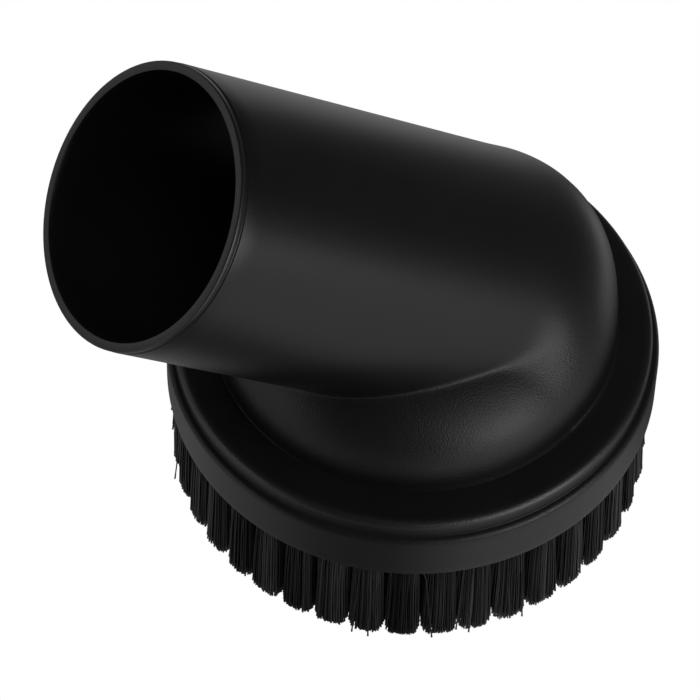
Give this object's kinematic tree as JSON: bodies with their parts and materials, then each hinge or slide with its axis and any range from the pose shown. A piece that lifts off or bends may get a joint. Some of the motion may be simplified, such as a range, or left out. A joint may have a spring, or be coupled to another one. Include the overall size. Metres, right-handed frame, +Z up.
{
  "type": "vacuum dusting brush",
  "caption": "Round vacuum cleaner dusting brush: a moulded ring of bristle tufts under a dome, with a slanted push-fit tube for the wand.",
  "frame": {"origin": "centre of the object's box in plan, on the surface that the longest bristle tips stand on", "axes": "+Z up along the bristle ring's axis, -X towards the mouth of the slanted tube, Y across it"},
  "size_m": [0.0846, 0.068, 0.0871],
  "materials": {
    "moulded_plastic": "black, satin with a fine spark-eroded grain",
    "bristle": "black synthetic bristle, satin"
  },
  "bodies": {
    "root": {"nozzle_body": "moulded_plastic", "tuft_01": "bristle", "tuft_02": "bristle", "tuft_03": "bristle", "tuft_04": "bristle", "tuft_05": "bristle", "tuft_06": "bristle", "tuft_07": "bristle", "tuft_08": "bristle", "tuft_09": "bristle", "tuft_10": "bristle", "tuft_11": "bristle", "tuft_12": "bristle", "tuft_13": "bristle", "tuft_14": "bristle", "tuft_15": "bristle", "tuft_16": "bristle", "tuft_17": "bristle", "tuft_18": "bristle", "tuft_19": "bristle", "tuft_20": "bristle", "tuft_21": "bristle", "tuft_22": "bristle", "tuft_23": "bristle", "tuft_24": "bristle", "tuft_25": "bristle", "tuft_26": "bristle", "tuft_27": "bristle", "tuft_28": "bristle", "tuft_29": "bristle", "tuft_30": "bristle", "tuft_31": "bristle", "tuft_32": "bristle", "tuft_33": "bristle", "tuft_34": "bristle", "tuft_35": "bristle", "tuft_36": "bristle", "tuft_37": "bristle", "tuft_38": "bristle", "tuft_39": "bristle", "tuft_40": "bristle"}
  },
  "joints": []
}
